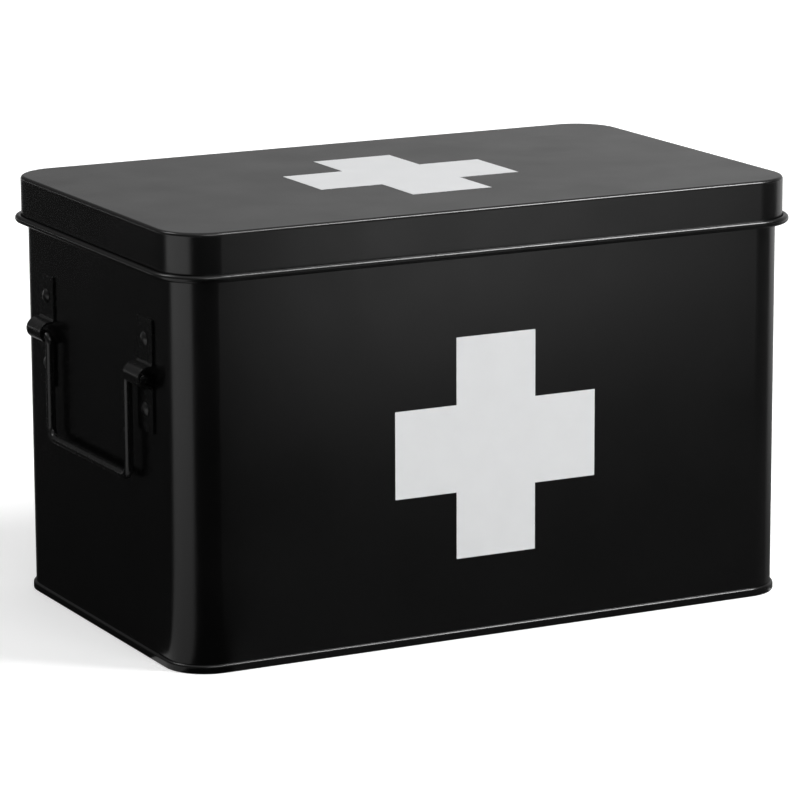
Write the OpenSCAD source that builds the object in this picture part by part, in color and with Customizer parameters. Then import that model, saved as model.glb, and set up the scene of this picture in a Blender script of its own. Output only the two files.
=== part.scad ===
// Lidded tinplate storage box with rolled edges, a riveted drop handle on
// each end wall, two riveted hinges at the back and a plain cross on the
// front and the lid. Lengths are in millimetres, +Z is up, and the origin
// lies on the table under the middle of the whole box.

/* [Body] */
// Width of the body over its end walls
body_w = 314; // [240:1:400]
// Depth of the body over its front and back walls
body_d = 188; // [150:1:260]
// Height from the table to the top of the lid
box_h = 200.5; // [180:0.5:280]
// Outer radius of the body's upright corners
body_corner = 19; // [14:0.5:30]
// Thickness of the tinplate
sheet = 0.5; // [0.4:0.05:0.7]
// Radius of the hollow inside the rolled rim of the body
rim_bore = 0.25; // [0.15:0.05:0.4]
// Width of the folded seam that closes the body at the back
lock_w = 6; // [4:0.5:10]

/* [Base] */
// Height of the folded seam round the base
seam_h = 4; // [3:0.25:6]
// How far the base seam stands out from the wall
seam_out = 1.35; // [1:0.05:1.8]
// Height of the base panel's underside over the table
base_rise = 3; // [1.5:0.25:6]
// Gap between the wall and the folds of the seam round it
seam_fit = 0.05; // [0.02:0.01:0.1]

/* [Lid] */
// How far the lid's skirt stands out past each end wall
lid_over_end = 3; // [2.6:0.1:4]
// How far the lid's skirt stands out past the front and back walls
lid_over_front = 3.65; // [3.2:0.05:5]
// Height from the lid's top to the middle of its rolled bead
skirt_h = 20.2; // [12:0.1:28]
// Radius of the edge between the lid's top and its skirt
lid_edge_r = 1.6; // [0.8:0.1:4]
// Radius of the hollow inside the lid's rolled bead
bead_bore = 1.25; // [0.8:0.05:1.8]
// Gap between the body's rim and the underside of the closed lid
lid_rest = 0.3; // [0.2:0.05:0.6]

/* [Crosses] */
// Length of each bar of the crosses
cross_l = 103.5; // [60:0.5:110]
// Width of each bar of the crosses
cross_w = 40.8; // [15:0.1:50]
// Height of the middle of the front cross over the table
cross_z = 89.6; // [75:0.1:110]
// Thickness of the printed film
print_t = 0.1; // [0.08:0.01:0.3]

/* [Handles] */
// Height of the middle of the ears over the table
ear_z = 131.3; // [100:0.1:140]
// Distance between the middles of the two ears on one end wall
ear_gap = 112.8; // [100:0.1:118]
// Width of an ear's strap
ear_w = 16.5; // [12:0.5:20]
// Height of an ear's strap
ear_h = 52; // [46:0.5:64]
// Thickness of the strap
strap_t = 1; // [0.8:0.1:1.2]
// Inner radius of the loop bent into the strap
loop_bore = 4.1; // [3.9:0.05:5]
// Distance from the end wall to the outside of the loop
loop_stand = 8; // [7.6:0.1:9]
// Inner radius of the bends where the strap leaves the wall
loop_bend = 1.2; // [0.8:0.1:2]
// Radius of the handle's round wire
wire_r = 2.1; // [1.5:0.05:2.2]
// Drop from the handle's pivot to the middle of its grip
bail_drop = 48.3; // [35:0.1:70]
// Distance between the middles of the handle's two legs
leg_gap = 90; // [80:0.5:91]
// Middle radius of the bends at the pivot
bend_top = 4; // [2.5:0.1:5]
// Middle radius of the bends at the grip
bend_low = 5.5; // [3:0.1:12]
// How far the pivot hangs out from the middle of the loop
pivot_out = 1.5; // [0.5:0.1:1.6]
// How far the pivot hangs down from the middle of the loop
pivot_sag = 0.8; // [0:0.1:1]
// How far the wire's tip stays inside the ear's far edge
tip_short = 1.15; // [0.5:0.05:3]

/* [Rivets] */
// Radius of a rivet's domed head
head_r = 3.6; // [2.8:0.1:4.2]
// Height of a rivet's domed head
head_h = 1.5; // [0.8:0.1:2]
// Radius of a rivet's shank
shank_r = 1.6; // [1:0.1:2]
// Radius of the tail that is hammered over inside
tail_r = 2.4; // [2.2:0.1:3]
// Thickness of that tail
tail_h = 0.8; // [0.5:0.1:1.2]
// Gap round a shank in its hole
rivet_fit = 0.05; // [0.02:0.01:0.1]
// Distance between the two rivets of an ear
ear_pitch = 32; // [26:0.5:38]
// Distance between the two rivets of a hinge leaf
hinge_pitch = 17; // [12:0.5:20]

/* [Hinges] */
// Distance between the middles of the two hinges
hinge_gap = 180; // [120:1:220]
// Width of a hinge
hinge_w = 30; // [26:1:40]
// Thickness of the hinge leaves
leaf_t = 1; // [0.8:0.1:1.2]
// Radius of the hole that the hinge pin turns in
pin_bore = 1.5; // [1.2:0.1:1.8]
// Radial running gap round the hinge pin
pin_fit = 0.05; // [0.02:0.01:0.1]
// Gap between a moving knuckle and what it turns past
knuckle_fit = 0.4; // [0.3:0.05:0.6]
// Sideways gap between neighbouring knuckles
knuckle_side = 0.2; // [0.1:0.05:0.4]
// Gap between the lid's bead and the leaf that is bent round it
wrap_fit = 0.2; // [0.1:0.05:0.4]
// Height of the body leaf's plate under the hinge pin
body_leaf_h = 24; // [20:0.5:32]
// Height of the body leaf's rivets over its lower edge
body_rivet_up = 7; // [6:0.5:10]
// Height of the lid leaf's flat plate
lid_leaf_h = 11; // [9:0.5:12]
// Radius of a hinge pin's flattened ends
pin_head_r = 2.1; // [1.9:0.1:2.3]
// Thickness of a hinge pin's flattened ends
pin_head_h = 0.7; // [0.5:0.1:1.2]

/* [Hidden] */
$fn = 64;

enamel = "#1b1c1d";
white = "#e8e8e8";
steel = "#2a2b2c";

// Sides that a name stands for: left is towards -X, front is towards -Y
left = -1;
right = 1;
front = -1;
rear = 1;
// Length by which a cutter runs past the sheet that it cuts
past = 1;
// Angle where a rolled edge leaves its wall, and how far it turns from there
curl_start = 180;
curl_turn = 300;
curl_parts = 3;
// Slope at which the lid leaf steps out over the bead
step_slope = 45;
// Flat facets in the lid leaf's bend round the bead
wrap_facets = 16;
// How far the lid leaf's sheet runs inside the faces of its knuckle
knuckle_lap = 0.1;

end_wall = body_w / 2;
back_wall = body_d / 2;
lid_w = body_w + 2 * lid_over_end;
lid_d = body_d + 2 * lid_over_front;
lid_corner = body_corner + lid_over_end;
back_skirt = lid_d / 2;

rim_r = rim_bore + sheet;
rim_top = box_h - sheet - lid_rest;

bead_r = bead_bore + sheet;
bead_z = box_h - skirt_h;
// The bead is rolled outwards from the skirt, flush with its inner face
bead_y = back_skirt + bead_r - sheet;

// The pin lies as close under the bead as the turning knuckles allow
knuckle_r = pin_bore + leaf_t;
pin_y = back_wall + knuckle_r + knuckle_fit;
pin_z = bead_z - sqrt(pow(knuckle_r + bead_r + knuckle_fit, 2) - pow(bead_y - pin_y, 2));
wrap_r = bead_r + wrap_fit;
knuckle_w = (hinge_w - 2 * knuckle_side) / 3;

loop_middle = loop_stand - strap_t - loop_bore;
pivot_x = end_wall + loop_middle + pivot_out;
pivot_z = ear_z - pivot_sag;
tip = ear_gap / 2 + ear_w / 2 - tip_short;

body_rivet_z = pin_z - body_leaf_h + body_rivet_up;
lid_leaf_low = bead_z + (wrap_r + leaf_t) / sin(step_slope)
    + (bead_y - back_skirt - leaf_t) / tan(step_slope);
lid_rivet_z = lid_leaf_low + lid_leaf_h / 2;

// The middle of the whole box lies this far behind the middle of the body
front_reach = back_skirt + 2 * bead_r - sheet;
back_reach = max(bead_y + wrap_r + leaf_t, back_skirt + leaf_t + head_h);
body_y = (front_reach - back_reach) / 2;

// Straight strips and quarter turns of a flat profile, led round a rounded
// rectangle. The profile's x runs outwards from the rectangle's edge, and
// its y runs up.
module around(w, d, corner) {
    for (side = [0 : 3]) {
        along = side % 2 == 0 ? d : w;
        across = side % 2 == 0 ? w : d;
        rotate([0, 0, 90 * side]) {
            translate([across / 2, 0, 0])
                rotate([90, 0, 0])
                    linear_extrude(along - 2 * corner, center = true)
                        children();
            translate([across / 2 - corner, along / 2 - corner, 0])
                rotate_extrude(angle = 90)
                    translate([corner, 0])
                        children();
        }
    }
}

// Part of a ring between two angles less than half a turn apart
module ring_part(inner, outer, from, to) {
    reach = 2 * outer;
    middle = (from + to) / 2;
    intersection() {
        difference() {
            circle(outer);
            circle(inner);
        }
        polygon([
            [0, 0], reach * [cos(from), sin(from)],
            reach * [cos(middle), sin(middle)], reach * [cos(to), sin(to)]
        ]);
    }
}

// Sheet edge rolled outwards: it turns down, out and back up to the wall
module curl(bore) {
    step = curl_turn / curl_parts;
    translate([bore, 0])
        for (i = [0 : curl_parts - 1])
            ring_part(bore, bore + sheet, curl_start + i * step, curl_start + (i + 1) * step);
}

// The same roll turned over: up, out and back down to the wall
module curl_over(bore) {
    mirror([0, 1])
        curl(bore);
}

module in_place() {
    translate([0, body_y, 0])
        children();
}

module on_end(side) {
    if (side == right)
        children();
    else
        mirror([1, 0, 0])
            children();
}

// Round bar through a list of flat points, bent at each inner point
module wire(path, bends, r) {
    last = len(path) - 1;
    legs = [for (i = [0 : last - 1]) (path[i + 1] - path[i]) / norm(path[i + 1] - path[i])];
    headings = [for (leg = legs) atan2(leg.y, leg.x)];
    turns = [0, for (i = [1 : last - 1]) headings[i] - headings[i - 1], 0];
    trims = [for (i = [0 : last]) turns[i] == 0 ? 0 : bends[i] * tan(abs(turns[i]) / 2)];
    for (i = [0 : last - 1])
        translate(path[i] + legs[i] * trims[i])
            rotate([0, 90, headings[i]])
                cylinder(h = norm(path[i + 1] - path[i]) - trims[i] - trims[i + 1], r = r);
    for (i = [1 : last - 1]) {
        hand = sign(turns[i]);
        inward = hand * [-legs[i - 1].y, legs[i - 1].x];
        translate(path[i] - legs[i - 1] * trims[i] + inward * bends[i])
            rotate([0, 0, headings[i - 1] - hand * 90 + min(turns[i], 0)])
                rotate_extrude(angle = abs(turns[i]))
                    translate([bends[i], 0])
                        circle(r);
    }
}

// Rivet along x: its head sits on x = 0 and its tail lies past the grip
module rivet(grip) {
    dome_r = (head_r * head_r + head_h * head_h) / (2 * head_h);
    rotate([0, 90, 0]) {
        intersection() {
            translate([0, 0, head_h - dome_r])
                sphere(dome_r);
            cylinder(h = head_h, r = head_r + past);
        }
        translate([0, 0, -grip])
            cylinder(h = grip, r = shank_r);
        translate([0, 0, -grip - tail_h])
            cylinder(h = tail_h, r = tail_r);
    }
}

module rivet_hole(thick) {
    rotate([0, 90, 0])
        translate([0, 0, -thick - past])
            cylinder(h = thick + 2 * past, r = shank_r + rivet_fit);
}

// Places of the rivets on an end wall's face and on the back of the box
module at_ear_rivets(y_side) {
    for (up = [-1, 1])
        translate([end_wall, y_side * ear_gap / 2, ear_z + up * ear_pitch / 2])
            children();
}

module at_hinge_rivets(side, y, z) {
    for (step = [-1, 1])
        translate([side * hinge_gap / 2 + step * hinge_pitch / 2, y, z])
            rotate([0, 0, 90])
                children();
}

module body_shell() {
    color(enamel)
        in_place()
            difference() {
                union() {
                    around(body_w, body_d, body_corner) {
                        union() {
                            translate([-sheet, sheet])
                                square([sheet, rim_top - rim_r - sheet]);
                            translate([0, rim_top - rim_r])
                                curl_over(rim_bore);
                        }
                    }
                    translate([-lock_w / 2, back_wall, seam_h + lid_rest])
                        cube([lock_w, sheet, rim_top - seam_h - 2 * rim_r - 2 * lid_rest]);
                }
                for (x_side = [left, right])
                    on_end(x_side)
                        for (y_side = [front, rear])
                            at_ear_rivets(y_side)
                                rivet_hole(sheet);
                for (side = [left, right])
                    at_hinge_rivets(side, back_wall, body_rivet_z)
                        rivet_hole(sheet);
            }
}

// Pan with a flat panel, an upright wall inside the body and a folded rim
// that grips the body's lower edge
module base_profile() {
    inside = sheet + seam_fit;
    fold = seam_out - seam_fit;
    foot_r = sheet;
    translate([-inside - sheet, 0])
        square([sheet, base_rise + sheet]);
    translate([-inside, 0])
        square([inside + seam_out - foot_r, sheet]);
    translate([seam_out - foot_r, foot_r])
        ring_part(0, foot_r, 270, 360);
    translate([seam_fit, sheet])
        square([fold, seam_h - sheet - fold]);
    translate([seam_fit, seam_h - fold])
        ring_part(0, fold, 0, 90);
    translate([-body_corner, base_rise])
        square([body_corner - inside - sheet, sheet]);
}

module base_panel() {
    color(enamel)
        in_place() {
            around(body_w, body_d, body_corner)
                base_profile();
            translate([body_corner - end_wall, body_corner - back_wall, base_rise])
                cube([body_w - 2 * body_corner, body_d - 2 * body_corner, sheet]);
        }
}

module lid_profile() {
    translate([-sheet, bead_z])
        square([sheet, skirt_h - lid_edge_r]);
    translate([0, bead_z])
        curl(bead_bore);
    translate([-lid_edge_r, box_h - lid_edge_r])
        ring_part(lid_edge_r - sheet, lid_edge_r, 0, 90);
    translate([-lid_corner, box_h - sheet])
        square([lid_corner - lid_edge_r, sheet]);
}

module lid_shell() {
    color(enamel)
        in_place()
            difference() {
                union() {
                    around(lid_w, lid_d, lid_corner)
                        lid_profile();
                    translate([lid_corner - lid_w / 2, lid_corner - lid_d / 2, box_h - sheet])
                        cube([lid_w - 2 * lid_corner, lid_d - 2 * lid_corner, sheet]);
                }
                for (side = [left, right])
                    at_hinge_rivets(side, back_skirt, lid_rivet_z)
                        rivet_hole(sheet);
            }
}

module cross() {
    arm = (cross_l - cross_w) / 2;
    linear_extrude(print_t) {
        square([cross_l, cross_w], center = true);
        for (up = [-1, 1])
            translate([0, up * (cross_w + arm) / 2])
                square([cross_w, arm], center = true);
    }
}

module front_cross() {
    color(white)
        in_place()
            translate([0, -back_wall, cross_z])
                rotate([90, 0, 0])
                    cross();
}

module lid_cross() {
    color(white)
        in_place()
            translate([0, 0, box_h])
                cross();
}

// One strip bent to a loop, seen along the wall: x stands off the wall
module strap_half() {
    leg = loop_bore + strap_t;
    outer_bend = loop_bend + strap_t;
    foot = leg + loop_bend;
    translate([0, foot])
        square([strap_t, ear_h / 2 - foot]);
    translate([outer_bend, foot])
        ring_part(loop_bend, outer_bend, 180, 270);
    translate([outer_bend, loop_bore])
        square([loop_middle - outer_bend, strap_t]);
    translate([loop_middle, 0])
        ring_part(loop_bore, leg, 0, 90);
}

module ear(x_side, y_side) {
    color(steel)
        in_place()
            on_end(x_side)
                difference() {
                    translate([end_wall, y_side * ear_gap / 2, ear_z])
                        rotate([90, 0, 0])
                            linear_extrude(ear_w, center = true) {
                                strap_half();
                                mirror([0, 1])
                                    strap_half();
                            }
                    at_ear_rivets(y_side)
                        rivet_hole(strap_t);
                    at_ear_rivets(y_side)
                        translate([strap_t, 0, 0])
                            rivet_hole(strap_t);
                }
}

module ear_rivets(x_side, y_side) {
    color(steel)
        in_place()
            on_end(x_side)
                at_ear_rivets(y_side)
                    translate([strap_t, 0, 0])
                        rivet(strap_t + sheet);
}

module handle(x_side) {
    leg = leg_gap / 2;
    path = [[-tip, 0], [-leg, 0], [-leg, -bail_drop], [leg, -bail_drop], [leg, 0], [tip, 0]];
    color(steel)
        in_place()
            on_end(x_side)
                translate([pivot_x, 0, pivot_z])
                    rotate([90, 0, 90])
                        wire(path, [0, bend_top, bend_low, bend_low, bend_top, 0], wire_r);
}

// Hinge parts are drawn across the back of the box: x is the box's y, and
// y is its z. Each is then drawn out along the hinge's width.
module hinge_bar(side, from, wide) {
    translate([side * hinge_gap / 2 + from, 0, 0])
        rotate([90, 0, 90])
            linear_extrude(wide)
                children();
}

module knuckle_ring() {
    translate([pin_y, pin_z])
        difference() {
            circle(knuckle_r);
            circle(pin_bore);
        }
}

// Room round the pin for the knuckles of the other leaf
module knuckle_room(side, from, wide) {
    hinge_bar(side, from, wide)
        translate([pin_y, pin_z])
            circle(knuckle_r + knuckle_fit);
}

// The middle knuckle's sheet is drawn down over the whole plate
module body_leaf(side) {
    color(steel)
        in_place()
            difference() {
                union() {
                    hinge_bar(side, -hinge_w / 2, hinge_w)
                        translate([back_wall, pin_z - body_leaf_h])
                            square([leaf_t, body_leaf_h - knuckle_r - knuckle_fit]);
                    hinge_bar(side, -knuckle_w / 2, knuckle_w)
                        difference() {
                            union() {
                                knuckle_ring();
                                translate([back_wall, pin_z - body_leaf_h])
                                    square([leaf_t, body_leaf_h]);
                            }
                            translate([pin_y, pin_z])
                                circle(pin_bore);
                        }
                }
                at_hinge_rivets(side, back_wall + leaf_t, body_rivet_z)
                    rivet_hole(leaf_t);
            }
}

// Points on an arc round the bead's middle, from one angle to another
function bead_arc(r, from, to) = [
    for (i = [0 : wrap_facets])
        let (turn = from + (to - from) * i / wrap_facets)
            [bead_y + r * cos(turn), bead_z + r * sin(turn)]
];

// The sheet leaves the bead and reaches the knuckle on one straight line.
// Above the bead it slopes back to the skirt and ends in a flat plate.
module lid_leaf_sheet() {
    gap_y = bead_y - pin_y;
    gap_z = bead_z - pin_z;
    lean = atan2(gap_z, gap_y) - acos((wrap_r - pin_bore) / norm([gap_y, gap_z]));
    out = [cos(lean), sin(lean)];
    face = back_skirt;
    top = lid_leaf_low + lid_leaf_h;
    step = bead_arc(wrap_r, lean, step_slope)[wrap_facets];
    polygon(concat(
        [[pin_y, pin_z] + (pin_bore + knuckle_lap) * out],
        bead_arc(wrap_r, lean, step_slope),
        [[face, step.y + (step.x - face) / tan(step_slope)], [face, top]],
        [[face + leaf_t, top], [face + leaf_t, lid_leaf_low]],
        bead_arc(wrap_r + leaf_t, step_slope, lean),
        [[pin_y, pin_z] + (knuckle_r - knuckle_lap) * out]
    ));
}

module lid_leaf(side) {
    color(steel)
        in_place()
            difference() {
                union() {
                    hinge_bar(side, -hinge_w / 2, hinge_w)
                        lid_leaf_sheet();
                    for (from = [-hinge_w / 2, hinge_w / 2 - knuckle_w])
                        hinge_bar(side, from, knuckle_w)
                            knuckle_ring();
                }
                knuckle_room(side, -knuckle_w / 2 - knuckle_side, knuckle_w + 2 * knuckle_side);
                at_hinge_rivets(side, back_skirt + leaf_t, lid_rivet_z)
                    rivet_hole(leaf_t);
            }
}

module hinge_pin(side) {
    half = hinge_w / 2;
    color(steel)
        in_place()
            translate([side * hinge_gap / 2, pin_y, pin_z])
                rotate([0, 90, 0]) {
                    cylinder(h = hinge_w, r = pin_bore - pin_fit, center = true);
                    for (turn = [0, 180])
                        rotate([0, turn, 0])
                            translate([0, 0, half])
                                cylinder(h = pin_head_h, r = pin_head_r);
                }
}

module hinge_rivets(side, face, z) {
    color(steel)
        in_place()
            at_hinge_rivets(side, face + leaf_t, z)
                rivet(leaf_t + sheet);
}

body_shell();
base_panel();
front_cross();
ear(left, front);  // left_front_ear
ear(left, rear);  // left_rear_ear
ear(right, front);  // right_front_ear
ear(right, rear);  // right_rear_ear
ear_rivets(left, front);  // left_front_ear_rivets
ear_rivets(left, rear);  // left_rear_ear_rivets
ear_rivets(right, front);  // right_front_ear_rivets
ear_rivets(right, rear);  // right_rear_ear_rivets
handle(left);  // left_handle
handle(right);  // right_handle
lid_shell();
lid_cross();
body_leaf(left);  // left_hinge_body_leaf
body_leaf(right);  // right_hinge_body_leaf
lid_leaf(left);  // left_hinge_lid_leaf
lid_leaf(right);  // right_hinge_lid_leaf
hinge_pin(left);  // left_hinge_pin
hinge_pin(right);  // right_hinge_pin
hinge_rivets(left, back_wall, body_rivet_z);  // left_hinge_body_rivets
hinge_rivets(right, back_wall, body_rivet_z);  // right_hinge_body_rivets
hinge_rivets(left, back_skirt, lid_rivet_z);  // left_hinge_lid_rivets
hinge_rivets(right, back_skirt, lid_rivet_z);  // right_hinge_lid_rivets
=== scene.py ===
"""Black enamelled tin box with a hinged lid, two drop handles and plain white crosses."""

import math

import bpy
from mathutils import Matrix, Vector


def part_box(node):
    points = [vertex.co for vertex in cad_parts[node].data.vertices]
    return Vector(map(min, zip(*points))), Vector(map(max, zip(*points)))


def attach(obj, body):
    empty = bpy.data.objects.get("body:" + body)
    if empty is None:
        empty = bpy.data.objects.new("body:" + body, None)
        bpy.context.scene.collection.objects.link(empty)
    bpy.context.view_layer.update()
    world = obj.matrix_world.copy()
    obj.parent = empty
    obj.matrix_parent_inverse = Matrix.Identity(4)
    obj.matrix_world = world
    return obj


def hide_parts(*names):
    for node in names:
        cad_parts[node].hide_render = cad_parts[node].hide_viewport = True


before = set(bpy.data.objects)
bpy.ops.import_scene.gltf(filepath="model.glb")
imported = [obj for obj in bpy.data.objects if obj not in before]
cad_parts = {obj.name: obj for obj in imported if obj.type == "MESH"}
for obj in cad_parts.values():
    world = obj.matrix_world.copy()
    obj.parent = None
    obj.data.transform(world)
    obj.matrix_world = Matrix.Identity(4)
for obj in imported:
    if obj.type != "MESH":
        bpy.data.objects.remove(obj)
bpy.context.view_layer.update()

bl_info = {
    "name": "Apothecary Box",
    "version": (1, 0, 0),
    "blender": (4, 5, 0),
    "location": "View3D > Sidebar > Apothecary Box",
    "description": "Builds an enamelled tin box with a hinged lid and drop handles",
    "category": "Object",
}

MM = 0.001
UP = Vector((0, 0, 1))
QUARTER = math.pi / 2
DRAWN_WELD = MM / 1000      # How close points of a drawn outline are merged
SPUN_WELD = MM / 100        # The same where a profile is led round and meets itself
RIVET_WELD = MM / 200       # The same for a rivet, whose tip is small
SHARP_FROM = 50             # Edges that turn by more degrees than this are bevelled
SMOOTH_BELOW = 35           # Edges that turn by fewer degrees than this are shaded smooth
NOISE_SPAN = (0.3, 0.7)     # Noise lies mostly between these two values
SIDES = {"left": -1, "right": 1}
ENDS = ("front", "rear")
HINGES = [f"{side}_hinge" for side in SIDES]


# Sizes and colours

def length(label, text, millimetres):
    """A length in metres that shows in the scene's own unit."""
    return bpy.props.FloatProperty(
        name=label, description=text, default=millimetres * MM, min=0.01 * MM,
        precision=5, subtype="DISTANCE", unit="LENGTH")


def paint(label, text, hex_colour):
    """A colour that is written as its sRGB hex value."""
    return bpy.props.FloatVectorProperty(
        name=label, description=text, default=linear(hex_colour), min=0, max=1,
        size=4, subtype="COLOR")


def linear(hex_colour):
    """An sRGB hex colour as linear red, green, blue and full alpha."""
    values = [int(hex_colour[i:i + 2], 16) / 255 for i in (1, 3, 5)]
    return [v / 12.92 if v <= 0.04045 else ((v + 0.055) / 1.055) ** 2.4 for v in values] + [1]


class BOX_PG_sizes(bpy.types.PropertyGroup):
    """Sizes of the box, its rolled edges and its fittings."""
    sheet: length("Sheet", "Thickness of the tinplate", 0.5)
    body_corner: length("Body corner", "Outer radius of the body's upright corners", 19)
    rim_bore: length("Rim bore", "Radius of the hollow in the body's rolled rim", 0.25)
    seam_height: length("Seam height", "Height of the folded seam round the base", 4)
    seam_out: length("Seam stand", "How far the base seam stands out from the wall", 1.35)
    base_rise: length("Base rise", "Height of the base panel over the table", 3)
    skirt: length("Skirt", "Height from the lid's top to the middle of its bead", 20.2)
    lid_edge: length("Lid edge", "Radius between the lid's top and its skirt", 1.6)
    bead_bore: length("Bead bore", "Radius of the hollow in the lid's rolled bead", 1.25)
    strap: length("Strap", "Thickness of an ear's strap", 1)
    loop_bore: length("Loop bore", "Inner radius of the loop in an ear", 4.1)
    loop_stand: length("Loop stand", "Distance from the wall to the outside of the loop", 8)
    loop_bend: length("Loop bend", "Inner radius where the strap leaves the wall", 1.2)
    wire: length("Wire", "Radius of the handle's wire", 2.1)
    leg_gap: length("Leg gap", "Distance between the handle's two legs", 90)
    bend_top: length("Top bend", "Middle radius of the bends at the pivot", 4)
    bend_low: length("Grip bend", "Middle radius of the bends at the grip", 5.5)
    head: length("Rivet head", "Radius of a rivet's domed head", 3.6)
    head_rise: length("Head rise", "Height of a rivet's domed head", 1.5)
    tail: length("Rivet tail", "Radius of the hammered tail of a rivet", 2.4)
    ear_pitch: length("Ear pitch", "Distance between the two rivets of an ear", 32)
    hinge_pitch: length("Hinge pitch", "Distance between the two rivets of a leaf", 17)


class BOX_PG_colours(bpy.types.PropertyGroup):
    """Colours of the finishes."""
    enamel: paint("Enamel", "Stoved black enamel on the tinplate", "#050505")
    print_white: paint("Print", "White enamel printed on the box", "#dfe0e1")
    fittings: paint("Fittings", "Black paint on the straps, wire and hinges", "#070707")


# Modelling by hand

def start_outline(point):
    """Leaves a new mesh in edit mode that is one point."""
    bpy.ops.object.select_all(action="DESELECT")
    bpy.ops.mesh.primitive_plane_add(size=MM, location=point, enter_editmode=True)
    bpy.ops.mesh.select_mode(type="VERT")
    bpy.ops.mesh.select_all(action="SELECT")
    bpy.ops.mesh.merge(type="CENTER")


def draw_outline(points, closed=True):
    """Draws a line of edges from point to point, and leaves all of it selected."""
    points = [Vector(p) for p in points]
    start_outline(points[0])
    for here, there in zip(points, points[1:] + points[:1] * closed):
        bpy.ops.mesh.extrude_region_move(TRANSFORM_OT_translate={"value": there - here})
    bpy.ops.mesh.select_all(action="SELECT")
    if closed:
        bpy.ops.mesh.remove_doubles(threshold=DRAWN_WELD)


def extrude(step):
    """Extrudes what is selected by one step."""
    bpy.ops.mesh.extrude_region_move(TRANSFORM_OT_translate={"value": Vector(step)})


def spin(angle, steps, centre, axis=UP):
    """Spins what is selected anticlockwise round an axis."""
    bpy.ops.mesh.spin(steps=steps, angle=-angle, center=centre, axis=axis)


def arc(centre, radius, start, stop, steps):
    """Flat points on an arc, in degrees, both ends with it."""
    turns = [math.radians(start + (stop - start) * i / steps) for i in range(steps + 1)]
    return [(centre[0] + radius * math.cos(t), centre[1] + radius * math.sin(t)) for t in turns]


def lead_round(profile, wide, deep, corner, middle, closed=True, cuts=(24, 14), turns=16):
    """Leads a flat profile, x outwards and y up, round a rounded rectangle. The cuts
    are the parts of a long and a short side, and the turns those of a corner."""
    side = middle.x + wide / 2
    draw_outline([(side + x, middle.y - deep / 2 + corner, z) for x, z in profile], closed)
    across, along = (wide, cuts[0]), (deep, cuts[1])
    runs = ((0, 1, *along), (-1, 0, *across), (0, -1, *along), (1, 0, *across))
    for dx, dy, run, parts in runs:
        for _ in range(parts):
            step = (run - 2 * corner) / parts
            extrude((dx * step, dy * step, 0))
        # The corner's middle lies on the inner side of the run's end
        cx = middle.x + (wide / 2 - corner) * (1 if (dx, dy) in ((0, 1), (1, 0)) else -1)
        cy = middle.y + (deep / 2 - corner) * (1 if (dx, dy) in ((0, 1), (-1, 0)) else -1)
        spin(QUARTER, turns, (cx, cy, 0))
    bpy.ops.mesh.select_all(action="SELECT")
    bpy.ops.mesh.remove_doubles(threshold=SPUN_WELD)


def select_rims(low, high):
    """Selects the open edges that lie between two heights."""
    bpy.ops.mesh.select_mode(type="EDGE")
    bpy.ops.mesh.select_all(action="DESELECT")
    bpy.ops.mesh.select_non_manifold(
        extend=False, use_wire=False, use_boundary=True, use_multi_face=False,
        use_non_contiguous=False, use_verts=False)
    bpy.ops.object.mode_set(mode="OBJECT")
    mesh = bpy.context.object.data
    place = bpy.context.object.matrix_world
    for edge in mesh.edges:
        heights = [(place @ mesh.vertices[i].co).z for i in edge.vertices]
        edge.select = edge.select and low < min(heights) and max(heights) < high
    bpy.ops.object.mode_set(mode="EDIT")


def face_outwards():
    """Turns every face outwards and leaves edit mode."""
    bpy.ops.mesh.select_all(action="SELECT")
    bpy.ops.mesh.normals_make_consistent(inside=False)
    bpy.ops.object.mode_set(mode="OBJECT")


def soften(width, segments=2):
    """Rounds the sharp edges with a bevel, as deburred and painted metal has them."""
    bpy.ops.object.modifier_add(type="BEVEL")
    bevel = bpy.context.object.modifiers[-1]
    bevel.width = width
    bevel.segments = segments
    bevel.limit_method = "ANGLE"
    bevel.angle_limit = math.radians(SHARP_FROM)
    bpy.ops.object.modifier_apply(modifier=bevel.name)


def cap_rims(*bands):
    """Closes the open edges in each band of heights with one flat face."""
    for low, high in bands:
        select_rims(low, high)
        bpy.ops.mesh.edge_face_add()


def duplicate(source):
    """A copy with its own mesh, which is then the only thing selected."""
    bpy.ops.object.select_all(action="DESELECT")
    source.select_set(True)
    bpy.context.view_layer.objects.active = source
    bpy.ops.object.duplicate(linked=False)
    return bpy.context.object


def join(pieces):
    """Joins several objects into the first of them."""
    bpy.ops.object.select_all(action="DESELECT")
    for piece in pieces:
        piece.select_set(True)
    bpy.context.view_layer.objects.active = pieces[0]
    if len(pieces) > 1:
        bpy.ops.object.join()
    return bpy.context.object


def hand_over(piece, name, material, body, nodes):
    """Smooths, names and paints a piece, and seats it on its body for its nodes."""
    bpy.ops.object.select_all(action="DESELECT")
    piece.select_set(True)
    bpy.context.view_layer.objects.active = piece
    bpy.ops.object.transform_apply(location=True, rotation=True, scale=True)
    bpy.ops.object.shade_smooth_by_angle(angle=math.radians(SMOOTH_BELOW))
    bpy.ops.object.modifier_add(type="WEIGHTED_NORMAL")
    weigh = piece.modifiers[-1]
    weigh.keep_sharp = True
    bpy.ops.object.modifier_apply(modifier=weigh.name)
    piece.name = name
    piece.data.name = name
    piece.data.materials.clear()
    piece.data.materials.append(material)
    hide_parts(*nodes)
    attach(piece, body)


# Finishes

def add_node(tree, kind, inputs=None, **settings):
    """Adds a node with its settings; an input is a value or another node's socket."""
    node = tree.nodes.new(kind)
    for name, value in settings.items():
        setattr(node, name, value)
    for socket, value in (inputs or {}).items():
        if isinstance(value, bpy.types.NodeSocket):
            tree.links.new(value, node.inputs[socket])
        else:
            node.inputs[socket].default_value = value
    return node


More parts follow.
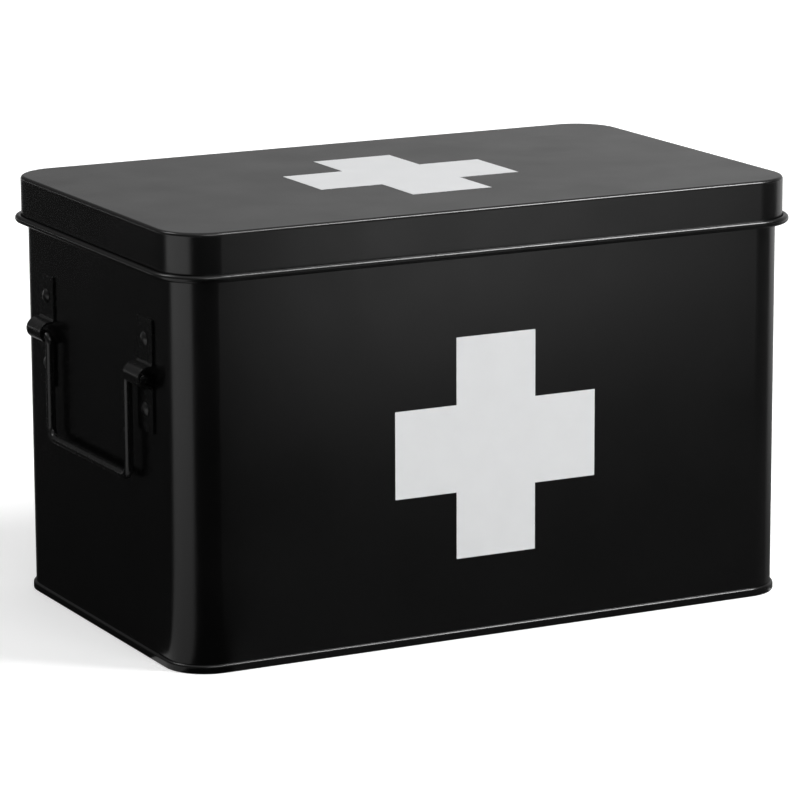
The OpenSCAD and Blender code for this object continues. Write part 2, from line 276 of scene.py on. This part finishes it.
def new_finish(name):
    """An empty material with its output, its shader and Object coordinates."""
    material = bpy.data.materials.new(name)
    material.use_nodes = True
    tree = material.node_tree
    tree.nodes.clear()
    shader = add_node(tree, "ShaderNodeBsdfPrincipled")
    add_node(tree, "ShaderNodeOutputMaterial", {"Surface": shader.outputs["BSDF"]})
    place = add_node(tree, "ShaderNodeTexCoord").outputs["Object"]
    return material, tree, shader, place


def grain(tree, place, size, detail):
    """Noise whose patches are about the given size in metres."""
    return add_node(tree, "ShaderNodeTexNoise",
                    {"Vector": place, "Scale": 1 / size, "Detail": detail}).outputs["Fac"]


def between(tree, value, low, high):
    """Turns noise into a value between two limits."""
    return add_node(tree, "ShaderNodeMapRange",
                    {"Value": value, "From Min": NOISE_SPAN[0], "From Max": NOISE_SPAN[1],
                     "To Min": low, "To Max": high}).outputs["Result"]


def tints(tree, value, colour, spread):
    """Turns noise into a colour a little darker to a little lighter than the given one."""
    dark = [max(c * (1 - spread), 0) for c in colour[:3]] + [1]
    light = [c * (1 + spread) for c in colour[:3]] + [1]
    mixed = add_node(tree, "ShaderNodeMix",
                     {"Factor": between(tree, value, 0, 1), "A": dark, "B": light},
                     data_type="RGBA")
    return mixed.outputs["Result"]


def relief(tree, height, distance, below=None):
    """A bump of the given height in metres, over another one if there is one."""
    inputs = {"Height": height, "Distance": distance, "Strength": 1.0}
    if below:
        inputs["Normal"] = below
    return add_node(tree, "ShaderNodeBump", inputs).outputs["Normal"]


def dress(tree, shader, colour, roughness, normal, ior):
    """Links a finish's mottled colour, roughness and relief, and sets its lacquer's IOR."""
    tree.links.new(colour, shader.inputs["Base Color"])
    tree.links.new(roughness, shader.inputs["Roughness"])
    tree.links.new(normal, shader.inputs["Normal"])
    shader.inputs["IOR"].default_value = ior


def stoved_enamel(colour):
    """Black enamel stoved on tinplate: satin, with a fine orange peel and the slow
    waves of thin sheet, which bend the reflections a little."""
    material, tree, shader, place = new_finish("stoved_black_enamel")
    sheet_wave = grain(tree, place, 70 * MM, detail=1.0)
    peel = grain(tree, place, 1.6 * MM, detail=1.0)
    haze = grain(tree, place, 30 * MM, detail=3.0)
    wave = relief(tree, sheet_wave, 0.12 * MM)
    dress(tree, shader, tints(tree, haze, colour, 0.12), between(tree, haze, 0.23, 0.27),
          relief(tree, peel, 0.0025 * MM, wave), 1.5)
    return material


def screen_print(colour):
    """White enamel screen-printed over the black: thin, even and duller than the
    enamel, with the fine tooth of the mesh that it was pressed through."""
    material, tree, shader, place = new_finish("white_screen_print")
    haze = grain(tree, place, 12 * MM, detail=3.0)
    tooth = grain(tree, place, 0.7 * MM, detail=1.0)
    dress(tree, shader, tints(tree, haze, colour, 0.012), between(tree, haze, 0.42, 0.5),
          relief(tree, tooth, 0.004 * MM), 1.48)
    return material


def painted_steel(name, colour, rough_low, rough_high):
    """Black paint over mild steel strap, wire and rivets, a little mottled in tone and gloss, with
    a fine relief in the film."""
    material, tree, shader, place = new_finish(name)
    haze = grain(tree, place, 6 * MM, detail=3.0)
    film = grain(tree, place, 1.4 * MM, detail=1.0)
    dress(tree, shader, tints(tree, haze, colour, 0.15),
          between(tree, haze, rough_low, rough_high), relief(tree, film, 0.003 * MM), 1.5)
    return material


def finish(name):
    """The named finish, made the first time that it is asked for."""
    if name in bpy.data.materials:
        return bpy.data.materials[name]
    colours = bpy.context.scene.box_colours
    makers = {
        "stoved_black_enamel": lambda: stoved_enamel(colours.enamel),
        "white_screen_print": lambda: screen_print(colours.print_white),
        "black_strap_paint": lambda: painted_steel(name, colours.fittings, 0.22, 0.3),
        "black_rivet_paint": lambda: painted_steel(name, colours.fittings, 0.26, 0.34),
    }
    return makers[name]()


def repaint(node, name):
    """Gives a CAD node that keeps its shape a finish."""
    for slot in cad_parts[node].material_slots:
        slot.material = finish(name)


# Measures that the fittings share with the frame

def middle_of(node):
    """Middle of a CAD node's box."""
    low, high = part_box(node)
    return (Vector(low) + Vector(high)) / 2


def span_of(node):
    """Width, depth and height of a CAD node's box."""
    low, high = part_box(node)
    return Vector(high) - Vector(low)


def body_measures(sizes):
    """Middle, width and depth of the body over its walls."""
    span = span_of("base_panel")
    out = 2 * sizes.seam_out
    return middle_of("base_panel"), span.x - out, span.y - out


def place_rivet(shape, point, turn):
    """A copy of a rivet with its head at a point and its tail turned into the sheet."""
    copy = duplicate(shape)
    copy.location = point
    copy.rotation_euler = (0, 0, turn)
    bpy.ops.object.transform_apply(location=True, rotation=True, scale=True)
    return copy


class BOX_OT_body_sheet(bpy.types.Operator):
    """Walls of the box: one band of tinplate with a rolled rim and a lock seam"""
    bl_idname = "box.body_sheet"
    bl_label = "Body sheet"

    def execute(self, context):
        sizes = context.scene.box_sizes
        middle, wide, deep = body_measures(sizes)
        sheet = sizes.sheet
        top = Vector(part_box("body_shell")[1]).z
        rim = sizes.rim_bore + sheet
        rim_z = top - rim
        rows = 18
        climb = [sheet + (rim_z - sheet) * i / rows for i in range(rows)]
        # The rim rolls outwards from the wall, over its top and under
        roll = (180, -105)
        inner_steps, outer_steps = 14, 18
        profile = [(0, z) for z in climb]
        profile += arc((sizes.rim_bore, rim_z), sizes.rim_bore, *roll, inner_steps)
        profile += arc((sizes.rim_bore, rim_z), rim, *reversed(roll), outer_steps)
        profile += [(-sheet, z) for z in reversed(climb)]
        lead_round(profile, wide, deep, sizes.body_corner, middle)
        self.dent(middle, wide, deep)
        face_outwards()
        walls = context.object
        seam = self.lock_seam(sizes, middle, deep, rim_z - rim)
        hand_over(join([walls, seam]), "body_sheet", finish("stoved_black_enamel"),
                  "body", ["body_shell"])
        return {"FINISHED"}

    def dent(self, middle, wide, deep):
        """Pushes the thin sheet in or out a little at three places, as handling does."""
        left, near = middle.x - wide / 2, middle.y - deep / 2
        # A bruise at the foot of the near corner and a hollow with a swell beside it, each
        # as millimetres along from the left, in from the front, up, push and reach
        dents = (((6.3, 4.3, 18), (0.4, 0.4, 0), 14),
                 ((55, 0, 52), (0, 0.5, 0), 45),
                 ((30, 0, 30), (0, -0.2, 0), 25))
        for (along, inwards, up), push, reach in dents:
            target = Vector((left + along * MM, near + inwards * MM, up * MM))
            bpy.ops.mesh.select_mode(type="VERT")
            bpy.ops.mesh.select_all(action="DESELECT")
            bpy.ops.object.mode_set(mode="OBJECT")
            mesh = bpy.context.object.data
            place = bpy.context.object.matrix_world
            # The nearest point of the sheet's outer face, and of its inner one
            nearest = sorted(mesh.vertices, key=lambda v: (place @ v.co - target).length)[:2]
            for vertex in nearest:
                vertex.select = True
            bpy.ops.object.mode_set(mode="EDIT")
            bpy.ops.transform.translate(
                value=Vector(push) * MM, use_proportional_edit=True,
                proportional_edit_falloff="SMOOTH", proportional_size=reach * MM)

    def lock_seam(self, sizes, middle, deep, high):
        """The flattened fold that closes the band, at the middle of the back."""
        low = sizes.seam_height + 0.3 * MM
        wide, thick, sunk, soft = 6 * MM, 0.5 * MM, 0.02 * MM, 0.18 * MM
        back = middle.y + deep / 2
        bpy.ops.object.select_all(action="DESELECT")
        bpy.ops.mesh.primitive_cube_add(
            size=1, location=(middle.x, back + thick / 2 - sunk, (low + high) / 2),
            scale=(wide, thick, high - low), enter_editmode=True)
        bpy.ops.mesh.select_all(action="SELECT")
        bpy.ops.mesh.bevel(offset=soft, segments=3, affect="EDGES")
        face_outwards()
        bpy.ops.object.transform_apply(location=True, rotation=True, scale=True)
        return bpy.context.object


class BOX_OT_base_pan(bpy.types.Operator):
    """Base pan: a raised panel, an upright wall and the seam folded round the body"""
    bl_idname = "box.base_pan"
    bl_label = "Base pan"

    def execute(self, context):
        sizes = context.scene.box_sizes
        middle, wide, deep = body_measures(sizes)
        sheet = sizes.sheet
        fit = 0.05 * MM
        inside = sheet + fit
        fold = sizes.seam_out - fit
        top = sizes.seam_height
        rise = sizes.base_rise
        reach = 12 * MM
        soft, lip, foot, nick = 0.3 * MM, 0.15 * MM, 0.5 * MM, 0.2 * MM
        under = -inside - sheet
        # From the panel's upper face out and down, round the fold, and back under it
        profile = [(-reach, rise + sheet)]
        profile += arc((-inside - soft, rise + sheet - soft), soft, 90, 0, 4)
        profile += [(-inside, sheet), (fit, sheet), (fit, top - fold * 0.35)]
        profile += arc((fit + lip, top - lip), lip, 180, 90, 3)
        profile += arc((fit, top - fold), fold, 80, 0, 8)
        profile += [(fit + fold, top * 0.4)]
        profile += arc((sizes.seam_out - foot, foot), foot, 0, -90, 6)
        profile += [(under + nick, 0), (under, nick), (under, rise), (-reach, rise)]
        lead_round(profile, wide, deep, sizes.body_corner, middle, closed=False)
        cap_rims((rise - fit, rise + fit), (rise + sheet - fit, rise + sheet + fit))
        face_outwards()
        hand_over(context.object, "base_pan", finish("stoved_black_enamel"),
                  "body", ["base_panel"])
        return {"FINISHED"}


class BOX_OT_lid(bpy.types.Operator):
    """Lid: a drawn tray with a soft top edge, a skirt and a rolled bead"""
    bl_idname = "box.lid"
    bl_label = "Lid"

    def execute(self, context):
        sizes = context.scene.box_sizes
        sheet = sizes.sheet
        edge = sizes.lid_edge
        bead = sizes.bead_bore + sheet
        stand = 2 * (bead + sizes.bead_bore)
        span = span_of("lid_shell")
        wide, deep = span.x - stand, span.y - stand
        middle = middle_of("lid_shell")
        top = Vector(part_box("lid_shell")[1]).z
        bead_z = top - sizes.skirt
        corner = sizes.body_corner + (wide - body_measures(sizes)[1]) / 2
        reach = 12 * MM
        guard = 0.3 * MM
        roll = (180, 480)
        ring = (sizes.bead_bore, bead_z)
        bend = (-edge, top - edge)
        shoulder = bead_z + bead * 0.5
        # From the top's inner end out over the edge, down the skirt, round the bead, and back
        profile = [(-reach, top), (-edge - guard, top)]
        profile += arc(bend, edge, 90, 0, 10)
        profile += [(0, top - edge - guard), (0, bead_z + bead + guard), (0, shoulder)]
        profile += arc(ring, sizes.bead_bore, *roll, 24)
        profile += arc(ring, bead, *reversed(roll), 30)
        profile += [(-sheet, shoulder), (-sheet, top - edge - guard)]
        profile += arc(bend, edge - sheet, 0, 90, 8)
        profile += [(-edge - guard, top - sheet), (-reach, top - sheet)]
        lead_round(profile, wide, deep, corner, middle, closed=False, cuts=(12, 8), turns=18)
        cap_rims((top - sheet * 1.2, top - sheet * 0.8), (top - sheet * 0.2, top + sheet))
        face_outwards()
        hand_over(context.object, "lid_sheet", finish("stoved_black_enamel"),
                  "lid", ["lid_shell"])
        return {"FINISHED"}


class BOX_OT_crosses(bpy.types.Operator):
    """White crosses printed on the front wall and the lid"""
    bl_idname = "box.crosses"
    bl_label = "Crosses"

    def execute(self, context):
        for node in ("front_cross", "lid_cross"):
            repaint(node, "white_screen_print")
        return {"FINISHED"}


class BOX_OT_ears(bpy.types.Operator):
    """Ears: straps bent to a round loop that holds the handle's wire"""
    bl_idname = "box.ears"
    bl_label = "Ears"

    def execute(self, context):
        sizes = context.scene.box_sizes
        deburr = 0.16 * MM
        for x_side, x in SIDES.items():
            for y_side in ENDS:
                name = f"{x_side}_{y_side}_ear"
                self.bend_strap(sizes, name, x)
                soften(deburr)
                hand_over(context.object, f"{name}_strap", finish("black_strap_paint"),
                          "body", [name])
        return {"FINISHED"}

    def bend_strap(self, sizes, name, x):
        """One strap, drawn as its outline from the side and extruded to its width."""
        low, high = [Vector(c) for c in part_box(name)]
        centre = (low + high) / 2
        half = (high.z - low.z) / 2
        wall = low.x if x > 0 else high.x
        strap, bore, bend = sizes.strap, sizes.loop_bore, sizes.loop_bend
        out = sizes.loop_stand - strap - bore
        foot = bore + strap + bend
        near = bend + strap
        # Half of the strap's wall side and of its outer side, each as out and up
        upper_in = [(0, half)] + arc((near, foot), near, 180, 270, 8)
        upper_out = [(strap, half)] + arc((near, foot), bend, 180, 270, 6)
        sides = []
        for upper, radius, steps in ((upper_in, bore, 22), (upper_out, bore + strap, 24)):
            lower = [(p, -q) for p, q in reversed(upper)]
            sides.append(upper + arc((out, 0), radius, 90, -90, steps) + lower)
        loop = sides[0] + sides[1][::-1]
        draw_outline([(wall + x * p, low.y, centre.z + q) for p, q in loop])
        bpy.ops.mesh.edge_face_add()
        extrude((0, high.y - low.y, 0))
        face_outwards()


class BOX_OT_handles(bpy.types.Operator):
    """Drop handles: round wire bent four times, with softened tips"""
    bl_idname = "box.handles"
    bl_label = "Handles"

    def execute(self, context):
        sizes = context.scene.box_sizes
        for side in SIDES:
            self.bend_wire(sizes, f"{side}_handle")
            hand_over(context.object, f"{side}_bail", finish("black_strap_paint"),
                      f"{side}_handle", [f"{side}_handle"])
        return {"FINISHED"}

    def bend_wire(self, sizes, node):
        """One wire, led as a ring from its front tip down, along the grip and up again."""
        low, high = [Vector(c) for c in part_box(node)]
        wire = sizes.wire
        x = (low.x + high.x) / 2
        top, grip = high.z - wire, low.z + wire
        mid = (low.y + high.y) / 2
        leg = sizes.leg_gap / 2
        tip_soft = 0.5 * MM
        bpy.ops.object.select_all(action="DESELECT")
        bpy.ops.mesh.primitive_circle_add(
            vertices=28, radius=wire - tip_soft, location=(x, low.y, top),
            rotation=(math.pi / 2, 0, 0), enter_editmode=True)
        bpy.ops.mesh.select_all(action="SELECT")
        tip_turns = [QUARTER * i / 4 for i in range(5)]
        self.turn_tip((x, 0, top), wire, tip_soft, tip_turns)
        tip = mid - leg - sizes.bend_top - (low.y + tip_soft)
        extrude((0, tip, 0))
        across = (1, 0, 0)
        spin(-QUARTER, 10, (x, mid - leg - sizes.bend_top, top - sizes.bend_top), across)
        drop = top - grip - sizes.bend_top - sizes.bend_low
        extrude((0, 0, -drop))
        spin(QUARTER, 12, (x, mid - leg + sizes.bend_low, grip + sizes.bend_low), across)
        extrude((0, 2 * (leg - sizes.bend_low), 0))
        spin(QUARTER, 12, (x, mid + leg - sizes.bend_low, grip + sizes.bend_low), across)
        extrude((0, 0, drop))
        spin(-QUARTER, 10, (x, mid + leg + sizes.bend_top, top - sizes.bend_top), across)
        extrude((0, tip, 0))
        self.turn_tip((x, 0, top), wire, tip_soft, tip_turns[::-1])
        bpy.ops.mesh.edge_face_add()
        # The wire's first end is the one rim that is still open
        cap_rims((-1, 1))
        bpy.ops.mesh.select_all(action="SELECT")
        bpy.ops.mesh.remove_doubles(threshold=DRAWN_WELD)
        face_outwards()

    def turn_tip(self, centre, wire, soft, turns):
        """Steps the wire's ring along and resizes it, round a softened tip."""
        rings = [wire - soft + soft * math.sin(turn) for turn in turns]
        steps = [soft * math.cos(turn) for turn in turns]
        for i in range(len(turns) - 1):
            extrude((0, abs(steps[i + 1] - steps[i]), 0))
            ratio = rings[i + 1] / rings[i]
            bpy.ops.transform.resize(value=(ratio, 1, ratio), center_override=centre)


class BOX_OT_rivets(bpy.types.Operator):
    """Rivets: a domed head outside, and a tail hammered flat inside"""
    bl_idname = "box.rivets"
    bl_label = "Rivets"

    def execute(self, context):
        sizes = context.scene.box_sizes
        shape = self.turn_rivet(sizes)
        for x_side, x in SIDES.items():
            for y_side in ENDS:
                node = f"{x_side}_{y_side}_ear_rivets"
                low, high = [Vector(c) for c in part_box(node)]
                seat = (high.x if x > 0 else low.x) - x * sizes.head_rise
                mid = (low + high) / 2
                spots = [(seat, mid.y, mid.z + up * sizes.ear_pitch / 2) for up in (-1, 1)]
                self.seat_pair(shape, spots, 0 if x > 0 else 2 * QUARTER, node, "body")
        for hinge in HINGES:
            for body in ("body", "lid"):
                node = f"{hinge}_{body}_rivets"
                low, high = [Vector(c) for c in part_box(node)]
                mid = (low + high) / 2
                spots = [(mid.x + step * sizes.hinge_pitch / 2, high.y - sizes.head_rise, mid.z)
                         for step in (-1, 1)]
                self.seat_pair(shape, spots, QUARTER, node, body)
        bpy.ops.object.select_all(action="DESELECT")
        shape.select_set(True)
        bpy.ops.object.delete()
        return {"FINISHED"}

    def turn_rivet(self, sizes):
        """One rivet along x, its head's flat side at the origin, spun from its outline."""
        head, rise, tail = sizes.head, sizes.head_rise, sizes.tail
        low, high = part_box("left_front_ear_rivets")
        tail_rise = 0.8 * MM
        grip = Vector(high).x - Vector(low).x - rise - tail_rise
        shank = 1.6 * MM
        dome = (head * head + rise * rise) / (2 * rise)
        open_angle = math.degrees(math.asin(head / dome))
        # Dome, its softened brim, the shank, and the tail with its hammered edge
        outline = arc((rise - dome, 0), dome, 0, open_angle * 0.96, 9)
        outline += [(0.12 * MM, head - 0.02 * MM), (0, head - 0.12 * MM), (0, shank)]
        outline += [(-grip, shank), (-grip, tail - 0.15 * MM), (-grip - 0.15 * MM, tail)]
        outline += [(-grip - 0.55 * MM, tail - 0.1 * MM),
                    (-grip - tail_rise, tail - 0.5 * MM), (-grip - tail_rise, 0)]
        draw_outline([(p, 0, q) for p, q in outline], closed=False)
        spin(4 * QUARTER, 32, (0, 0, 0), (1, 0, 0))
        bpy.ops.mesh.select_all(action="SELECT")
        bpy.ops.mesh.remove_doubles(threshold=RIVET_WELD)
        face_outwards()
        bpy.ops.object.transform_apply(location=True, rotation=True, scale=True)
        return bpy.context.object

    def seat_pair(self, shape, spots, turn, node, body):
        """Puts two rivets at their spots, as one piece that rides its body."""
        pair = join([place_rivet(shape, spot, turn) for spot in spots])
        hand_over(pair, f"{node}_pair", finish("black_rivet_paint"),
                  body, [node])


class BOX_OT_hinges(bpy.types.Operator):
    """Hinges at the back: leaves, knuckles and pins"""
    bl_idname = "box.hinges"
    bl_label = "Hinges"

    def execute(self, context):
        for hinge in HINGES:
            for leaf in ("body_leaf", "lid_leaf"):
                repaint(f"{hinge}_{leaf}", "black_strap_paint")
            repaint(f"{hinge}_pin", "black_rivet_paint")
        return {"FINISHED"}


class BOX_OT_stage(bpy.types.Operator):
    """Pale floor, glowing cards that only gloss sees as painted reflections, room, lamps and
    camera
    """
    bl_idname = "box.stage"
    bl_label = "Stage"

    def execute(self, context):
        self.floor()
        self.cards()
        self.studio_world(context.scene)
        self.lamps()
        self.camera(context.scene)
        context.scene.view_settings.view_transform = "Standard"
        return {"FINISHED"}

    def floor(self):
        """White paper sweep that keeps the box's soft shadow, with a painted glow that is weakest
        near the box.
        """
        material, tree, shader, place = new_finish("white_paper_floor")
        shader.inputs["Base Color"].default_value = linear("#f2f2f2")
        shader.inputs["Roughness"].default_value = 0.9
        shader.inputs["Specular IOR Level"].default_value = 0.1
        rays = add_node(tree, "ShaderNodeLightPath")
        seen = rays.outputs["Is Camera Ray"]
        for ray in ("Is Glossy Ray", "Is Transmission Ray"):
            seen = add_node(tree, "ShaderNodeMath", {0: seen, 1: rays.outputs[ray]},
                            operation="MAXIMUM").outputs[0]
        # Painted light: the sweep glows more away from the box, so its shadow lies on a white
        # ground
        away = add_node(tree, "ShaderNodeVectorMath", {0: place}, operation="LENGTH")
        level = add_node(tree, "ShaderNodeMapRange",
                         {"Value": away.outputs["Value"], "From Min": 0.3, "From Max": 2.5,
                          "To Min": 0.42, "To Max": 1.0}).outputs["Result"]
        glow = add_node(tree, "ShaderNodeMath", {0: seen, 1: level}, operation="MULTIPLY")
        shader.inputs["Emission Color"].default_value = (1, 1, 1, 1)
        tree.links.new(glow.outputs[0], shader.inputs["Emission Strength"])
        bpy.ops.object.select_all(action="DESELECT")
        # A hair below the box's foot, so that the two faces never fight
        bpy.ops.mesh.primitive_plane_add(size=40, location=(0, 0, -0.05 * MM))
        floor = bpy.context.object
        floor.name = "floor"
        floor.data.materials.append(material)

    def cards(self):
        """Glowing cards lying round the box, which only its gloss sees. They are painted
        reflections, shown by a satin black wall in place of the table beside it, so the cards are
        dark where the photograph is."""
        far, lie = 4.0, 0.2 * MM
        # Corners that two cards share, close to the box and far away from it
        left, left_far = (-0.155, -0.06), (-far, 1.6)
        corner, corner_far = (-0.155, -0.085), (-far, -3.2)
        front, front_far = (-0.137, -0.092), (1.88, -far)
        by_corner = (-0.15, -0.09)
        # Each card: its corners, the point that its shade is measured from, the distances
        # at which it is dimmest and brightest, those two levels, and how fast they change
        # Painted reflections: each card's glow sets how bright the walls reflect there; card_gap
        # is black to paint a black band
        cards = {
            "card_left": ((left, (-0.155, far), (-far, far), left_far),
                          (-0.159, -0.07), 0.1, 1.2, 0.02, 0.042, 1.5),
            "card_corner": ((left, left_far, corner_far, corner),
                            by_corner, 0.0, 1.2, 0.42, 1.15, 1.0),
            "card_gap": ((corner, corner_far, (-far, -far), front_far, front),
                         by_corner, 0.0, 1.0, 0.0, 0.0, 1.0),
            "card_front": ((front, front_far, (far, -far), (far, -0.092)),
                           (-0.43, -2.12), 1.868, 1.438, 0.10, 1.65, 2.8),
            "card_right": (((0.155, -0.092), (far, -0.092), (far, far), (0.155, far)),
                           (0.160, 0.0), 0.0, 1.2, 0.1, 0.9, 1.0),
            "card_back": (((-0.155, 0.092), (0.155, 0.092), (0.155, far), (-0.155, far)),
                          (0.0, 0.0965), 0.0, 1.2, 0.1, 0.9, 1.0),
        }
        for name, (corners, *shade) in cards.items():
            draw_outline([(x, y, lie) for x, y in corners])
            bpy.ops.mesh.edge_face_add()
            bpy.ops.object.mode_set(mode="OBJECT")
            card = bpy.context.object
            bpy.ops.object.transform_apply(location=True, rotation=True, scale=True)
            card.name = name
            card.data.materials.append(self.painted_reflection_card(name, *shade))
            # Only gloss sees the cards, so they paint reflections and light nothing else
            for kind in ("camera", "diffuse", "transmission", "shadow", "volume_scatter"):
                setattr(card, f"visible_{kind}", False)

    def painted_reflection_card(self, name, start, dim_at, bright_at, dim, bright, ease):
        """Glowing card, a painted reflection, whose brightness changes with the distance from a
        point on the table.
        """
        material = bpy.data.materials.new(name)
        material.use_nodes = True
        tree = material.node_tree
        tree.nodes.clear()
        place = add_node(tree, "ShaderNodeTexCoord").outputs["Object"]
        away = add_node(tree, "ShaderNodeVectorMath", {0: place, 1: (*start, 0)},
                        operation="DISTANCE").outputs["Value"]
        share = add_node(tree, "ShaderNodeMapRange",
                         {"Value": away, "From Min": dim_at, "From Max": bright_at})
        eased = add_node(tree, "ShaderNodeMath", {0: share.outputs["Result"], 1: ease},
                         operation="POWER").outputs[0]
        level = add_node(tree, "ShaderNodeMapRange",
                         {"Value": eased, "To Min": dim, "To Max": bright}).outputs["Result"]
        glow = add_node(tree, "ShaderNodeEmission", {"Color": (1, 1, 1, 1), "Strength": level})
        add_node(tree, "ShaderNodeOutputMaterial", {"Surface": glow.outputs["Emission"]})
        return material

    def studio_world(self, scene):
        """Grey room with a lit ceiling, and a pale backdrop behind the box to its right."""
        world = bpy.data.worlds.new("pale_studio")
        scene.world = world
        world.use_nodes = True
        tree = world.node_tree
        tree.nodes.clear()
        place = add_node(tree, "ShaderNodeTexCoord").outputs["Generated"]
        height = add_node(tree, "ShaderNodeSeparateXYZ", {0: place}).outputs["Z"]
        # The lid's flat top shows the low backdrop, which is palest far to the right
        towards = add_node(tree, "ShaderNodeVectorMath", {0: place, 1: (0.819, 0.574, 0)},
                           operation="DOT_PRODUCT").outputs["Value"]
        behind = add_node(tree, "ShaderNodeMapRange",
                          {"Value": towards, "From Min": 0.68, "From Max": 0.97}).outputs["Result"]
        low = add_node(tree, "ShaderNodeMapRange",
                       {"Value": height, "From Min": 0.6, "From Max": 0.35}).outputs["Result"]
        glow = add_node(tree, "ShaderNodeMath", {0: behind, 1: low},
                        operation="MULTIPLY").outputs[0]
        backdrop = add_node(tree, "ShaderNodeMapRange",
                            {"Value": glow, "To Min": 0.12, "To Max": 0.54}).outputs["Result"]
        ceiling = add_node(tree, "ShaderNodeMapRange",
                           {"Value": height, "From Min": 0.5, "From Max": 0.8,
                            "To Min": 0.0, "To Max": 0.3}).outputs["Result"]
        level = add_node(tree, "ShaderNodeMath", {0: backdrop, 1: ceiling},
                         operation="ADD").outputs[0]
        sky = add_node(tree, "ShaderNodeBackground", {"Color": (1, 1, 1, 1), "Strength": level})
        add_node(tree, "ShaderNodeOutputWorld", {"Surface": sky.outputs["Background"]})

    def heading(self, turn, rise):
        """Unit vector from a turn round the upright axis and a height angle."""
        return Vector((math.cos(turn) * math.cos(rise), math.sin(turn) * math.cos(rise),
                       math.sin(rise)))

    def lamps(self):
        """Soft lamps, each by name: azimuth from +X, height angle, distance, width,
        height and power in watts."""
        lamps = {
            "key_rear_left": (140, 48, 2.6, 0.8, 0.8, 9),
            "overhead": (90, 88, 2.5, 1.6, 1.6, 3),
            "fill_front": (270, 45, 3.0, 1.6, 1.0, 18),
            "edge_front_right": (318, 48, 2.4, 0.6, 0.8, 38),
        }
        aim = Vector((0, 0, 0.1))
        for name, (turn, rise, distance, wide, high, power) in lamps.items():
            turn, rise = math.radians(turn), math.radians(rise)
            back = self.heading(turn, rise)
            bpy.ops.object.select_all(action="DESELECT")
            bpy.ops.object.light_add(type="AREA", location=aim + back * distance)
            lamp = bpy.context.object
            lamp.name = name
            lamp.rotation_euler = (-back).to_track_quat("-Z", "Y").to_euler()
            lamp.data.shape = "RECTANGLE"
            lamp.data.size = wide
            lamp.data.size_y = high
            lamp.data.energy = power
            lamp.visible_camera = False

    def camera(self, scene):
        """Long lens a little above the box, to the left of its front."""
        yaw, pitch, roll = [math.radians(angle) for angle in (27.18, 12.62, 0.24)]
        ahead = self.heading(QUARTER - yaw, -pitch)
        across = Vector((math.cos(yaw), -math.sin(yaw), 0))
        down = ahead.cross(across)
        right = across * math.cos(roll) + down * math.sin(roll)
        below = down * math.cos(roll) - across * math.sin(roll)
        bpy.ops.object.select_all(action="DESELECT")
        bpy.ops.object.camera_add()
        camera = bpy.context.object
        camera.name = "photo_camera"
        turn = Matrix((right, -below, -ahead)).transposed().to_4x4()
        place = (-0.9184, -1.7873, 0.5415)
        camera.matrix_world = Matrix.Translation(place) @ turn
        camera.data.sensor_width = 36
        camera.data.lens = 194.67
        scene.camera = camera


class BOX_PT_panel(bpy.types.Panel):
    """Lists the pieces of the box and their sizes and colours"""
    bl_idname = "BOX_PT_panel"
    bl_label = "Apothecary Box"
    bl_space_type = "VIEW_3D"
    bl_region_type = "UI"
    bl_category = "Apothecary Box"

    def draw(self, context):
        scene = context.scene
        for title, group in (("Sizes", scene.box_sizes), ("Colours", scene.box_colours)):
            self.layout.label(text=title)
            column = self.layout.column(align=True)
            for name in group.__annotations__:
                column.prop(group, name)
        self.layout.label(text="Pieces")
        column = self.layout.column(align=True)
        for operator in OPERATORS:
            column.operator(operator.bl_idname)


GROUPS = (BOX_PG_sizes, BOX_PG_colours)
OPERATORS = (BOX_OT_body_sheet, BOX_OT_base_pan, BOX_OT_lid, BOX_OT_crosses, BOX_OT_ears,
             BOX_OT_handles, BOX_OT_rivets, BOX_OT_hinges, BOX_OT_stage)
CLASSES = GROUPS + OPERATORS + (BOX_PT_panel,)


def register():
    for item in CLASSES:
        bpy.utils.register_class(item)
    bpy.types.Scene.box_sizes = bpy.props.PointerProperty(type=BOX_PG_sizes)
    bpy.types.Scene.box_colours = bpy.props.PointerProperty(type=BOX_PG_colours)


def unregister():
    del bpy.types.Scene.box_colours
    del bpy.types.Scene.box_sizes
    for item in reversed(CLASSES):
        bpy.utils.unregister_class(item)


def main():
    register()
    for piece in (bpy.ops.box.body_sheet, bpy.ops.box.base_pan, bpy.ops.box.lid,
                  bpy.ops.box.crosses, bpy.ops.box.ears, bpy.ops.box.handles,
                  bpy.ops.box.rivets, bpy.ops.box.hinges, bpy.ops.box.stage):
        piece()


if __name__ == "__main__":
    main()
